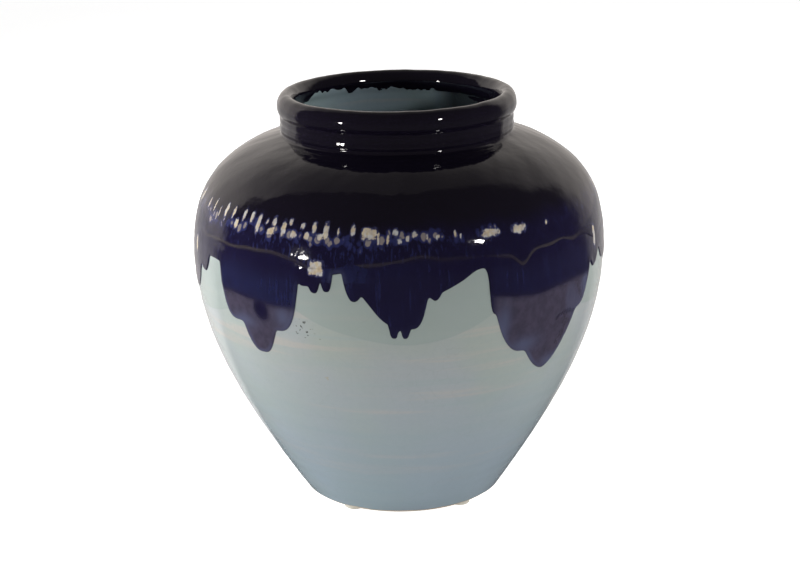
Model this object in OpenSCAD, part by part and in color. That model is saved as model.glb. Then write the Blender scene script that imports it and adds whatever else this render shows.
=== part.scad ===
// Thrown stoneware flower vase: a wide-shouldered jar with a rolled lip.
// The clay is four sections luted together, under a lining, a pale base coat,
// a cobalt coat that has run down in tongues, and a dark top coat over the lip.
// It stands on four small pads. Heights in the body are measured from the foot's
// underside, and every module is lifted by the pads' thickness.

/* [Body] */
// Radius of the clay at its widest point
belly_r = 173.5; // [140:0.5:215]
// Height of the widest point above the foot
belly_h = 215; // [175:1:260]
// Outer radius of the foot
foot_r = 84.5; // [68:0.5:104]
// Lean of the wall away from upright at the foot, in degrees
flare = 33.5; // [15:0.5:40]
// How long the lower wall stays straight, as a share of the widest point's height
lower_straight = 0.45; // [0.2:0.01:0.5]
// How long the lower wall stays upright below the widest point, as the same share
lower_upright = 0.29; // [0.15:0.01:0.45]

/* [Shoulder] */
// Height from the widest point up to the root of the neck
shoulder_rise = 95.5; // [78:0.5:118]
// Radius of the clay at the root of the neck
root_r = 98.5; // [84:0.5:118]
// Rise of the shoulder above level where it meets the neck, in degrees
shoulder_slope = 20; // [8:1:30]
// How long the shoulder stays upright above the widest point, as a share of its rise
shoulder_upright = 0.7; // [0.4:0.01:0.8]
// How long the shoulder stays straight next to the neck, as a share of its width
shoulder_straight = 0.48; // [0.2:0.01:0.6]

/* [Collar] */
// Height of the neck from its root to the underside of the lip
neck_h = 15.5; // [12:0.5:30]
// Radius of the fillet between the shoulder and the neck
neck_fillet = 3.5; // [2:0.5:8]
// How far the throwing ridges stand out of the neck
ridge_rise = 0.8; // [0:0.1:2]
// Number of throwing ridges around the neck
ridge_count = 2; // [1:1:3]
// Thickness of the rolled lip, across
lip_w = 14; // [11:0.5:20]
// Height of the rolled lip
lip_h = 19; // [14:0.5:26]
// How far the lip overhangs the neck outside
lip_overhang = 3; // [0:0.5:6]

/* [Wall] */
// Thickness of the wall
wall = 8.5; // [6:0.5:12]
// Thickness of the floor, over the foot's recess
floor_t = 9; // [6:0.5:14]
// Depth of the recess turned under the foot
recess_h = 3; // [1:0.5:6]
// Width of the foot ring
ring_w = 20; // [14:1:26]

/* [Glaze] */
// Thickness of the pale base coat
pale_t = 0.6; // [0.3:0.1:1.5]
// Thickness of the cobalt coat
cobalt_t = 0.5; // [0.3:0.1:1.5]
// Thickness of the dark top coat
dark_t = 0.4; // [0.3:0.1:1.5]
// Thickness of the lining
lining_t = 0.6; // [0.3:0.1:1.5]
// Bare clay left above the foot
bare_h = 3; // [2:0.5:12]
// Height of the cobalt coat's edge above the widest point, between its tongues
cobalt_line = 11; // [0:1:24]
// Height of the dark coat's edge above the widest point
dark_line = 26; // [16:1:40]
// How far the dark coat reaches down inside the neck, below the lip's crest
dark_inside = 22; // [20:1:28]

/* [Pads] */
// Thickness of a pad
pad_t = 3; // [2:0.5:5]
// Diameter of a pad
pad_d = 18; // [12:1:20]

/* [Hidden] */
$fn = 180;
curve_steps = 26;
fillet_steps = 5;
lip_steps = 30;
// Where the lip's roll leaves the neck on either side, in degrees below level
lip_tuck = 50;
// Width of the chamfer between the floor and the wall inside
floor_corner = 3;
clay_colour = "#c9b79c";
// Where each pad is stuck under the foot ring, in degrees from the front
pad_azimuths = [-34, 40, 143, 217];
// The cobalt coat's tongues: azimuth in degrees from the front, then the drop below
// the coat's edge, the width at that edge and the radius of the round tip
tongues = [[-41, 67, 80, 14], [-1, 42, 58, 7], [43, 88, 108, 14], [93, 50, 70, 12], [128, 74, 84, 14],
           [168, 40, 56, 9], [205, 80, 96, 15], [243, 48, 60, 10], [279, 64, 80, 13]];

// Points along a cubic curve through four control points, from the first to the last
function bezier(p) = [for (i = [0:curve_steps]) let (t = i / curve_steps, u = 1 - t)
    u*u*u*p[0] + 3*u*u*t*p[1] + 3*u*t*t*p[2] + t*t*t*p[3]];
// The stretch of a path from one index to another, in either direction
function stretch(path, from, to) = [for (i = [from:(to < from ? -1 : 1):to]) path[i]];
function unit(v) = v / norm(v);
// The direction square to a path at one of its points, to the right as it runs
function square_to(path, i) =
    let (t = unit(path[min(i + 1, len(path) - 1)] - path[max(i - 1, 0)])) [t[1], -t[0]];
// A path moved sideways by a distance, each point along its own square direction
function shifted(path, d) = [for (i = [0:len(path) - 1]) path[i] + d * square_to(path, i)];
// The first index at which a path, from a given index on, is as high as z
function first_above(path, z, from = 0) = path[from][1] >= z ? from : first_above(path, z, from + 1);
// A closed outline without points that repeat the one before
function no_doubles(p) = [for (i = [0:len(p) - 1]) if (norm(p[i] - p[(i + len(p) - 1) % len(p)]) > 0.001) p[i]];

// The wall, from the foot over the widest point and the shoulder to the upright neck
root_z = belly_h + shoulder_rise;
shoulder_w = belly_r - root_r;
lower_curve = bezier([[foot_r + bare_h * tan(flare), bare_h],
    [foot_r + lower_straight * belly_h * tan(flare), lower_straight * belly_h],
    [belly_r, belly_h * (1 - lower_upright)], [belly_r, belly_h]]);
upper_curve = bezier([[belly_r, belly_h], [belly_r, belly_h + shoulder_upright * shoulder_rise],
    [root_r + shoulder_straight * shoulder_w, root_z - shoulder_straight * shoulder_w * tan(shoulder_slope)],
    [root_r, root_z]]);
fillet_c = [root_r, root_z] + neck_fillet * [sin(shoulder_slope), cos(shoulder_slope)];
fillet_path = [for (i = [1:fillet_steps]) let (a = shoulder_slope + (90 - shoulder_slope) * i / fillet_steps)
    fillet_c - neck_fillet * [sin(a), cos(a)]];
wall_outside = concat([[foot_r, 0]], lower_curve, stretch(upper_curve, 1, curve_steps), fillet_path);
wall_inside = shifted(wall_outside, -wall);
i_bare = 1;
i_belly = i_bare + curve_steps;
i_root = i_belly + curve_steps;
i_neck = i_root + fillet_steps;
floor_z = recess_h + floor_t;
i_floor = first_above(wall_inside, floor_z + 1);

// The neck's ridges and the rolled lip, which overhangs the neck outside and inside
neck_r = fillet_c[0] - neck_fillet;
lip_c = [neck_r + lip_overhang - lip_w / 2, root_z + neck_h + lip_h / 2];
crest_z = lip_c[1] + lip_h / 2;
lip_path = [for (i = [0:lip_steps]) let (a = -lip_tuck + i / lip_steps * (180 + 2 * lip_tuck))
    lip_c + [lip_w / 2 * cos(a), lip_h / 2 * sin(a)]];
ridge_steps = 8 * ridge_count;
ridge_path = [for (i = [1:ridge_steps]) let (s = i / (ridge_steps + 1), start = [neck_r, fillet_c[1]])
    start + s * (lip_path[0] - start) + [ridge_rise * (1 - cos(360 * ridge_count * s)) / 2, 0]];

// The whole surface of the clay, from the foot over the lip to the middle of the floor
clay_path = concat(wall_outside, ridge_path, lip_path, [[neck_r - wall, crest_z - dark_inside]],
    stretch(wall_inside, i_neck, i_floor), [[wall_inside[i_floor][0] - floor_corner, floor_z], [0, floor_z]]);
i_crest = i_neck + ridge_steps + 1 + lip_steps / 2;
i_dark_in = i_crest + lip_steps / 2 + 1;
i_root_in = i_dark_in + 1 + fillet_steps;
i_belly_in = i_root_in + i_root - i_belly;
i_floor_in = i_root_in + i_root - i_floor;
i_end = len(clay_path) - 1;

// Where the coats begin and end, and their surfaces
i_dark = first_above(clay_path, belly_h + dark_line);
longest_drop = max([for (t = tongues) t[1]]);
i_cobalt = first_above(clay_path, belly_h + cobalt_line - longest_drop) - 1;
over_pale = shifted(clay_path, pale_t);
over_cobalt = shifted(clay_path, pale_t + cobalt_t);
over_all = shifted(clay_path, pale_t + cobalt_t + dark_t);
over_collar = shifted(clay_path, pale_t + dark_t);
over_lining = shifted(clay_path, lining_t);
over_inside = shifted(clay_path, lining_t + dark_t);

// Turns an outline about the vase's axis, standing on the pads
module thrown(outline) {
    translate([0, 0, pad_t]) rotate_extrude() polygon(no_doubles(outline));
}

// One tongue, seen from in front: straight sides narrowing to a round tip
module tongue_shape(drop, width, tip_r) {
    tip = [0, belly_h + cobalt_line - drop + tip_r];
    translate(tip) circle(r = tip_r, $fn = 48);
    polygon([tip - [tip_r, 0], tip + [tip_r, 0],
             [width / 2, belly_h + cobalt_line + 1], [-width / 2, belly_h + cobalt_line + 1]]);
}

module foot_and_floor() {
    color(clay_colour) thrown(concat([[0, recess_h], [foot_r - ring_w, recess_h], [foot_r - ring_w, 0]],
        stretch(clay_path, 0, i_floor), stretch(clay_path, i_floor_in, i_end)));
}

module lower_wall() {
    color(clay_colour) thrown(concat(stretch(clay_path, i_floor, i_belly),
        stretch(clay_path, i_belly_in, i_floor_in)));
}

module shoulder_wall() {
    color(clay_colour) thrown(concat(stretch(clay_path, i_belly, i_root),
        stretch(clay_path, i_root_in, i_belly_in)));
}

module collar_and_lip() {
    color(clay_colour) thrown(stretch(clay_path, i_root, i_root_in));
}

module inside_glaze() {
    color("#a9c0cc") thrown(concat(stretch(clay_path, i_crest, i_end), stretch(over_lining, i_end, i_crest)));
}

module pale_blue_glaze() {
    color("#8fb2c6") thrown(concat(stretch(clay_path, i_crest, i_bare), stretch(over_pale, i_bare, i_crest)));
}

module cobalt_glaze() {
    reach = belly_r + wall;
    color("#1d2268") intersection() {
        thrown(concat(stretch(over_pale, i_root, i_cobalt), stretch(over_cobalt, i_cobalt, i_root)));
        union() {
            translate([0, 0, pad_t + belly_h + cobalt_line]) cylinder(r = reach, h = shoulder_rise);
            for (t = tongues) rotate(t[0]) translate([0, 0, pad_t]) rotate([90, 0, 0])
                linear_extrude(reach) tongue_shape(t[1], t[2], t[3]);
        }
    }
}

module dark_glaze() {
    color("#0b0b22") thrown(concat(
        stretch(over_all, i_dark, i_root), stretch(over_collar, i_root, i_crest),
        stretch(over_inside, i_crest, i_dark_in), stretch(over_lining, i_dark_in, i_crest),
        stretch(over_pale, i_crest, i_root), stretch(over_cobalt, i_root, i_dark)));
}

module foot_pad(azimuth) {
    color("#d8cdb6") rotate(azimuth) translate([0, -(foot_r - ring_w / 2), 0]) cylinder(d = pad_d, h = pad_t, $fn = 64);
}

foot_and_floor();
lower_wall();
shoulder_wall();
collar_and_lip();
inside_glaze();
pale_blue_glaze();
cobalt_glaze();
dark_glaze();
foot_pad(pad_azimuths[0]);  // foot_pad_1
foot_pad(pad_azimuths[1]);  // foot_pad_2
foot_pad(pad_azimuths[2]);  // foot_pad_3
foot_pad(pad_azimuths[3]);  // foot_pad_4
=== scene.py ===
"""A thrown stoneware flower vase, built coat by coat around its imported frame.

The clay and the coats are surfaces turned about the vase's axis: an outline in the plane of the axis,
walked from the foot over the lip to the middle of the floor, carried round in azimuth. Azimuth is 0 at the
front (-Y) and grows towards +X. Lengths are worked out in millimetres and become metres as a mesh is made.
"""
import math

import bpy
import numpy as np
from bpy.props import FloatProperty, FloatVectorProperty, IntProperty, PointerProperty
from mathutils import Matrix, Vector


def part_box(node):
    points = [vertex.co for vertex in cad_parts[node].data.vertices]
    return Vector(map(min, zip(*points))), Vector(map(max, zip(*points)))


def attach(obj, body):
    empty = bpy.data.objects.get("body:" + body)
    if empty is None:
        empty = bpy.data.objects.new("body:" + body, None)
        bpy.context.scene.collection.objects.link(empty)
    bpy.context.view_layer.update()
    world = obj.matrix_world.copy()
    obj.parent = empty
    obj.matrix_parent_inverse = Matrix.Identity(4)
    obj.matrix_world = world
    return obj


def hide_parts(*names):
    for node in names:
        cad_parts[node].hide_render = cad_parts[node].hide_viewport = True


bl_info = {
    "name": "Glazed Shoulder Vase",
    "version": (1, 0, 0),
    "blender": (4, 5, 0),
    "location": "3D View > Sidebar > Vase",
    "description": "Builds a thrown and glazed stoneware vase, coat by coat, around its packed frame",
    "category": "Add Mesh",
}

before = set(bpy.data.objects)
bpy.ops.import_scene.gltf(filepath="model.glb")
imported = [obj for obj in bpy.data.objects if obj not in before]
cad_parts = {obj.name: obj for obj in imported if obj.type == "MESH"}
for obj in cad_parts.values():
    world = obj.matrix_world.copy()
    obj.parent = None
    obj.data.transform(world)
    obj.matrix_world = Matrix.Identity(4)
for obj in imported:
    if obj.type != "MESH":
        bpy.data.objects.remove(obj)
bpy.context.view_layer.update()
MM = 0.001
BODY = "root"
CLAY_NODES = ("foot_and_floor", "lower_wall", "shoulder_wall", "collar_and_lip")
PAD_NODES = ("foot_pad_1", "foot_pad_2", "foot_pad_3", "foot_pad_4")


def node_size(node):
    """A CAD node's lowest and highest corners, in millimetres."""
    low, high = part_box(node)
    return np.array(low) / MM, np.array(high) / MM


FOOT_LOW = node_size("foot_and_floor")[0]
BELLY = node_size("lower_wall")[1]
ROOT = node_size("shoulder_wall")[1]
COLLAR = node_size("collar_and_lip")[1]


# ---------------------------------------------------------------- sizes and colours

def pick_number(name, description, default, **kind):
    """A number that a user can change, with its unit or subtype where one fits."""
    return FloatProperty(name=name, description=description, default=default, **kind)


def pick_colour(name, description, default):
    """A colour that a user can change."""
    return FloatVectorProperty(name=name, description=description, default=default, subtype="COLOR", size=3)


class VaseShape(bpy.types.PropertyGroup):
    """The clay's outline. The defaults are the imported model's own sizes, in millimetres."""
    foot_z: pick_number("Foot height", "Height of its underside", FOOT_LOW[2])
    foot_r: pick_number("Foot radius", "Outer radius of the foot", 84.5)
    bare_h: pick_number("Bare band", "Height of bare clay above the foot", 3.0)
    flare: pick_number("Flare", "Lean of the wall away from upright at the foot",
                       math.radians(33.5), subtype="ANGLE")
    lower_straight: pick_number("Lower wall straightness", "Share of the belly's height",
                                0.45, subtype="FACTOR")
    lower_upright: pick_number("Upright below the belly", "Share of the belly's height",
                               0.29, subtype="FACTOR")
    belly_r: pick_number("Belly radius", "Radius at the widest point", BELLY[0])
    belly_z: pick_number("Belly height", "Height of the widest point", BELLY[2])
    root_r: pick_number("Root radius", "Radius at the neck's root", 98.5)
    root_z: pick_number("Root height", "Height of the neck's root", ROOT[2])
    shoulder_slope: pick_number("Shoulder slope", "Slope where it meets the neck",
                                math.radians(20), subtype="ANGLE")
    shoulder_upright: pick_number("Upright above the belly", "Share of the shoulder's rise",
                                  0.7, subtype="FACTOR")
    shoulder_straight: pick_number("Shoulder straightness", "Share of the shoulder's width",
                                   0.48, subtype="FACTOR")
    neck_fillet: pick_number("Neck fillet", "Radius at the neck's root", 3.5)
    lip_r: pick_number("Lip radius", "Outer radius of the clay's lip", COLLAR[0])
    lip_w: pick_number("Lip width", "Thickness of the rolled lip, across", 14.0)
    lip_h: pick_number("Lip height", "Height of the rolled lip", 19.0)
    crest_z: pick_number("Crest height", "Height of the lip's crest", COLLAR[2])
    ridge_rise: pick_number("Ridge rise", "How far the ridges stand out", 0.8)
    ridge_count: IntProperty(name="Ridges", description="Number of throwing ridges on the neck", default=2)
    wall: pick_number("Wall", "Thickness of the wall", 8.5)
    floor_z: pick_number("Floor height", "Top of the floor above the foot", 12.0)
    recess_h: pick_number("Recess", "Depth of the recess under the foot", 3.0)
    ring_w: pick_number("Foot ring", "Width of the foot ring", 20.0)


class VaseGlaze(bpy.types.PropertyGroup):
    """The coats' thicknesses, lines and colours. Heights are in millimetres above where the vase stands."""
    pale_t: pick_number("Pale coat", "Thickness of the pale coat", 0.6)
    cobalt_t: pick_number("Cobalt coat", "Thickness of the cobalt coat", 0.5)
    dark_t: pick_number("Dark coat", "Thickness of the dark coat", 0.4)
    lining_t: pick_number("Lining", "Thickness of the lining", 0.6)
    cobalt_z: pick_number("Cobalt line", "Height of its edge between tongues", 234.0)
    dark_z: pick_number("Dark line", "Height of its lower edge", 244.0)
    fleck_z: pick_number("Fleck line", "Height of the band of flecks", 266.0)
    pale: pick_colour("Pale blue", "Pale base glaze", (0.285, 0.306, 0.300))
    lining: pick_colour("Lining colour", "Lining glaze", (0.26, 0.33, 0.36))
    deep: pick_colour("Deep cobalt", "Where it lies thick", (0.0055, 0.0042, 0.0200))
    blue: pick_colour("Mid cobalt", "Where it thins to blue", (0.0100, 0.0122, 0.0450))
    thin: pick_colour("Thin cobalt", "At the tips of its tongues", (0.043, 0.037, 0.061))
    veil: pick_colour("Cobalt edge", "Where its edge is a veil", (0.060, 0.066, 0.118))
    dark: pick_colour("Dark glaze", "Near-black top glaze", (0.0044, 0.0034, 0.0080))
    cream: pick_colour("Cream", "Flecks in the dark coat", (0.47, 0.40, 0.285))
    clay: pick_colour("Clay", "Bare fired clay", (0.42, 0.38, 0.32))
    felt: pick_colour("Felt", "Pads under the foot", (0.62, 0.60, 0.55))


class VaseStage(bpy.types.PropertyGroup):
    """The camera, the lamps and the surroundings. Lengths are in metres."""
    distance: pick_number("Distance", "Level distance from the vase's axis to the camera",
                          1.5, unit="LENGTH")
    look_down: pick_number("Look down", "Angle by which the camera looks down",
                           math.radians(16.95), subtype="ANGLE")
    aim_z: pick_number("Aim height", "Height that the camera looks at", 0.1777, unit="LENGTH")
    roll: pick_number("Roll", "Turn of the camera about its own view", math.radians(-0.96), subtype="ANGLE")
    lens: pick_number("Lens", "Focal length on a 36 mm sensor", 81.8, unit="CAMERA")
    lamp_size: pick_number("Lamp size", "Width of each small lamp", 0.16, unit="LENGTH")
    left_power: pick_number("Left lamp", "Power of the small left lamp", 6.0, unit="POWER")
    right_power: pick_number("Right lamp", "Power of the small right lamp", 5.0, unit="POWER")
    sky: pick_number("Soft light", "Brightness of the light from all round", 0.15)
    side: pick_number("Side light", "Power of the left panel, twice the right one's", 80.0, unit="POWER")
    surround: pick_number("Surround", "Brightness of the walls in reflections", 0.80)


# ---------------------------------------------------------------- outlines

def bezier(points, steps):
    """A cubic curve through four control points: the sum of each point times its Bernstein weight."""
    t = np.linspace(0, 1, steps + 1)[:, None]
    p0, p1, p2, p3 = np.array(points, float)
    return (1 - t) ** 3 * p0 + 3 * (1 - t) ** 2 * t * p1 + 3 * (1 - t) * t ** 2 * p2 + t ** 3 * p3


def arc(centre, half_w, half_h, start, end, steps):
    """Part of an ellipse: its centre plus each half axis times the cosine and sine of an angle."""
    a = np.radians(np.linspace(start, end, steps + 1))
    return np.array(centre) + np.stack([half_w * np.cos(a), half_h * np.sin(a)], 1)


class Outline:
    """A path in the plane of the axis: radius, height and outward direction by the distance walked along it.

    The outward direction at a point is the path's own direction turned a quarter to the right.
    """

    def __init__(self, points):
        step = np.hypot(*np.diff(points, axis=0).T)
        points = points[np.r_[True, step > 1e-6]]
        self.s = np.r_[0, np.cumsum(np.hypot(*np.diff(points, axis=0).T))]
        self.r, self.z = points.T
        along = np.gradient(points, self.s, axis=0)
        along /= np.linalg.norm(along, axis=1)[:, None]
        self.out_r, self.out_z = along[:, 1], -along[:, 0]

    def at(self, s, lift=0.0):
        """Radius and height at a walked distance, lifted off the path along its outward direction."""
        radius = np.interp(s, self.s, self.r) + lift * np.interp(s, self.s, self.out_r)
        height = np.interp(s, self.s, self.z) + lift * np.interp(s, self.s, self.out_z)
        return radius, height

    def walk_to(self, z, start=0.0):
        """The walked distance at which the path, from a start on, first passes a height or heights."""
        ahead = self.s >= start
        s, heights = self.s[ahead], self.z[ahead]
        if heights[1] > heights[0]:
            top = int(np.argmax(heights)) + 1
            return np.interp(z, heights[:top], s[:top])
        low = int(np.argmin(heights)) + 1
        return np.interp(-np.asarray(z), -heights[:low], s[:low])


def clay_outline(v):
    """The clay's whole surface, from the foot's outer edge over the lip to the middle of the floor.

    Two cubic curves make the wall, a quarter of a circle the neck's root, a raised cosine its ridges and an
    ellipse the lip. The inside is the outside moved in by the wall's thickness.
    """
    belly_h = v.belly_z - v.foot_z
    start = [v.foot_r + v.bare_h * math.tan(v.flare), v.foot_z + v.bare_h]
    straight = v.lower_straight * belly_h
    lower = bezier([start, [v.foot_r + straight * math.tan(v.flare), v.foot_z + straight],
                    [v.belly_r, v.belly_z - v.lower_upright * belly_h], [v.belly_r, v.belly_z]], 260)
    width = v.belly_r - v.root_r
    reach = v.shoulder_straight * width
    upright = v.shoulder_upright * (v.root_z - v.belly_z)
    upper = bezier([[v.belly_r, v.belly_z], [v.belly_r, v.belly_z + upright],
                    [v.root_r + reach, v.root_z - reach * math.tan(v.shoulder_slope)],
                    [v.root_r, v.root_z]], 200)
    slope = math.degrees(v.shoulder_slope)
    turn = np.array([v.root_r + v.neck_fillet * math.sin(v.shoulder_slope),
                     v.root_z + v.neck_fillet * math.cos(v.shoulder_slope)])
    fillet = arc(turn, v.neck_fillet, v.neck_fillet, 270 - slope, 180, 16)
    outside = np.vstack([[[v.foot_r, v.foot_z]], lower, upper[1:], fillet[1:]])
    skin = Outline(outside)
    lip_c = [v.lip_r - v.lip_w / 2, v.crest_z - v.lip_h / 2]
    lip = arc(lip_c, v.lip_w / 2, v.lip_h / 2, -50, 230, 90)
    t = np.linspace(0, 1, 49)[1:-1, None]
    ridges = fillet[-1] + t * (lip[0] - fillet[-1])
    ridges[:, 0] += v.ridge_rise * (1.2 - t[:, 0]) * (1 - np.cos(2 * np.pi * v.ridge_count * t[:, 0])) / 2
    inside = np.stack(skin.at(skin.s[::-1], -v.wall), 1)
    floor_z = v.foot_z + v.floor_z
    inside = inside[inside[:, 1] > floor_z + 6]
    corner = bezier([inside[-1], inside[-1] + [-2.4, -4.5], [inside[-1][0] - 7, floor_z],
                     [inside[-1][0] - 14, floor_z]], 14)
    return Outline(np.vstack([outside, ridges, lip, inside, corner[1:], [[0, floor_z]]]))


def ripple(az, z, size_u, size_z, seed, waves=18):
    """Smooth chance unevenness, about -1.5 to 1.5: a sum of cosine waves, seeded in direction and phase.

    Each wave has a whole number of turns round the vase, so that it closes behind. size_u and size_z are how
    far a swell reaches along the girth and the height, in millimetres.
    """
    rng = np.random.default_rng(seed)
    turns = np.round(rng.normal(0, 1, waves) * BELLY[0] / size_u)
    rises = rng.normal(0, 1, waves) / size_z
    phases = rng.uniform(0, 2 * np.pi, waves)
    total = 0.0
    for turn, rise, phase in zip(turns, rises, phases):
        total = total + np.cos(turn * az + rise * z + phase)
    return total / math.sqrt(waves / 2)


def smooth(x, low, high):
    """0 below low, 1 above high, and the smooth cubic between them."""
    t = np.clip((x - low) / (high - low), 0, 1)
    return t * t * (3 - 2 * t)


def nearest_turn(az, centre):
    """The signed angle from a centre to each azimuth, the short way round, in degrees."""
    return (np.degrees(az) - centre + 180) % 360 - 180


def thrown(az, radius, height):
    """Points at azimuths, radii and heights, with the unevenness of hand throwing added to the radius.

    The radius gets a slow swell, a slightly fuller right shoulder, faint throwing lines all over, stronger
    ones on the neck and a little waviness at the lip. All of it fades out at the axis.
    """
    body = 0.30 * ripple(az, height, 160, 120, 1) + 0.07 * ripple(az, height, 260, 3.2, 2)
    fuller = 0.7 * np.sin(az) * np.exp(-((height - 280) / 34) ** 2)
    on_neck = smooth(height, ROOT[2] + 1, ROOT[2] + 6) * smooth(-height, 6 - COLLAR[2], 14 - COLLAR[2])
    neck = 0.11 * on_neck * ripple(az, height, 50, 5.0, 3)
    lip = 0.22 * smooth(height, COLLAR[2] - 18, COLLAR[2] - 8) * ripple(az, height, 60, 9, 4)
    radius = radius + (body + fuller + neck + lip) * np.clip(radius / 80, 0, 1)
    height = height + 0.25 * smooth(height, ROOT[2], COLLAR[2]) * np.cos(az - 2)
    return np.stack([radius * np.sin(az), -radius * np.cos(az), height], -1)


# ---------------------------------------------------------------- meshes

def surface(name, grid, closed=True, poles=False, marks=None):
    """A mesh from a grid of points, rows by columns, whose columns close round the axis.

    closed joins the last row to the first, which makes a ring. poles makes the first and last rows one point
    each. marks are named values, one for each point.
    """
    rows, cols = grid.shape[:2]
    index = np.arange(rows * cols).reshape(rows, cols)
    if poles:
        index = index - (cols - 1)
        index[0], index[-1] = 0, (rows - 2) * cols + 1
    keep = np.unique(index, return_index=True)[1]
    below = index if closed else index[:-1]
    above = np.roll(index, -1, 0) if closed else index[1:]
    quads = np.stack([below, np.roll(below, -1, 1), np.roll(above, -1, 1), above], -1)
    if poles:
        caps = np.concatenate([quads[0][:, [0, 2, 3]], quads[-1][:, [0, 1, 2]]])
        quads = quads[1:-1]
    else:
        caps = np.zeros((0, 3), int)
    quads = quads.reshape(-1, 4)
    corners = np.concatenate([quads.ravel(), caps.ravel()])
    starts = np.concatenate([np.arange(len(quads)) * 4, quads.size + np.arange(len(caps)) * 3])
    mesh = bpy.data.meshes.new(name)
    points = grid.reshape(-1, 3)[keep] * MM
    mesh.vertices.add(len(points))
    mesh.vertices.foreach_set("co", points.astype(np.float32).ravel())
    mesh.loops.add(len(corners))
    mesh.loops.foreach_set("vertex_index", corners.astype(np.int32))
    mesh.polygons.add(len(starts))
    mesh.polygons.foreach_set("loop_start", starts.astype(np.int32))
    mesh.polygons.foreach_set("use_smooth", np.ones(len(starts), bool))
    for mark, values in (marks or {}).items():
        layer = mesh.attributes.new(mark, "FLOAT", "POINT")
        layer.data.foreach_set("value", np.asarray(values, np.float32).reshape(-1)[keep])
    mesh.update(calc_edges=True)
    mesh.validate()
    piece = bpy.data.objects.new(name, mesh)
    bpy.context.scene.collection.objects.link(piece)
    return piece


def finish_piece(piece, material, slot, *nodes):
    """Gives a piece its material, and lets it stand for its CAD nodes on the vase's one body. slot is not
    used.
    """
    piece.data.materials.append(material)
    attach(piece, BODY)
    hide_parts(*nodes)
    return piece


def around(columns):
    """Evenly spaced azimuths once round the vase, starting behind it."""
    return np.linspace(-np.pi, np.pi, columns, endpoint=False)


FAR = 32.0


def edge_distance(outline, az, s, edges):
    """Distance along the surface from each point to the nearest of a coat's edges, in millimetres.

    Each edge is walked in steps of 1 mm, and the distance is the least over all steps. Points farther than
    FAR from every edge keep that value.
    """
    radius = outline.at(s)[0]
    best = np.full(s.shape, FAR)
    for edge_az, edge_s in edges:
        edge_r = outline.at(edge_s)[0]
        run = np.r_[0, np.cumsum(np.hypot(np.diff(edge_az) * edge_r[1:], np.diff(edge_s)))]
        walk = np.arange(0, run[-1], 1.0)
        walk_az, walk_s = np.interp(walk, run, edge_az), np.interp(walk, run, edge_s)
        middle, half = (edge_s.max() + edge_s.min()) / 2, (edge_s.max() - edge_s.min()) / 2
        near = np.abs(s - middle) < half + FAR
        for row in np.flatnonzero(near.any(1)):
            d_az = (az[row][:, None] - walk_az[None, :] + np.pi) % (2 * np.pi) - np.pi
            d_u = d_az * radius[row][:, None]
            d_s = s[row][:, None] - walk_s[None, :]
            best[row] = np.minimum(best[row], np.sqrt(np.min(d_u * d_u + d_s * d_s, axis=1)))
    return best


def paces(outline, start, end, count):
    """Places from 0 to 1 between two walked distances, closer together at the ends and at turns.

    They are even steps of effort: the distance, plus 9 mm for each radian turned, plus 7 mm for either end.
    """
    s = np.linspace(start, end, 3000)
    turned = np.abs(np.diff(np.unwrap(np.arctan2(np.interp(s, outline.s, outline.out_z),
                                                 np.interp(s, outline.s, outline.out_r)))))
    at_ends = 7 * np.exp((s - end) / 3) - 7 * np.exp((start - s) / 3)
    effort = s + 9 * np.r_[0, np.cumsum(turned)] + at_ends
    return np.interp(np.linspace(effort[0], effort[-1], count), effort, np.linspace(0, 1, 3000))


def coat(name, outline, columns, rows, back_rows, start, end, base, thickness, sink=0.12, marks=None):
    """A glaze coat: a closed shell whose front is the outline lifted by what is under it and its thickness.

    Rows run from the start edge to the end edge, then back behind. start and end take azimuths, base and
    thickness take azimuths and walked distances. The back lies a little below what the coat covers, by sink,
    so that the edges grow out of the surface under them. marks takes azimuths, distances and heights.
    """
    az = around(columns)
    low, high = start(az).mean(), end(az).mean()
    all_t = np.r_[paces(outline, low, high, rows), paces(outline, low, high, back_rows)[::-1]][:, None]
    s = start(az)[None, :] * (1 - all_t) + end(az)[None, :] * all_t
    az = np.broadcast_to(az, s.shape)
    lift = base(az, s) - sink
    lift[:rows] += sink + thickness(az[:rows], s[:rows])
    lift[0], lift[rows - 1] = base(az[0], s[0]) - sink, base(az[rows - 1], s[rows - 1]) - sink
    radius, height = outline.at(s, lift)
    named = marks(az, s, height) if marks else None
    grid = thrown(az, radius, height)
    skip = np.r_[0:rows, rows + 1:rows + back_rows - 1]
    if named:
        named = {key: np.broadcast_to(value, s.shape)[skip] for key, value in named.items()}
    return surface(name, grid[skip], marks=named)


# ---------------------------------------------------------------- the coats' edges

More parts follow.
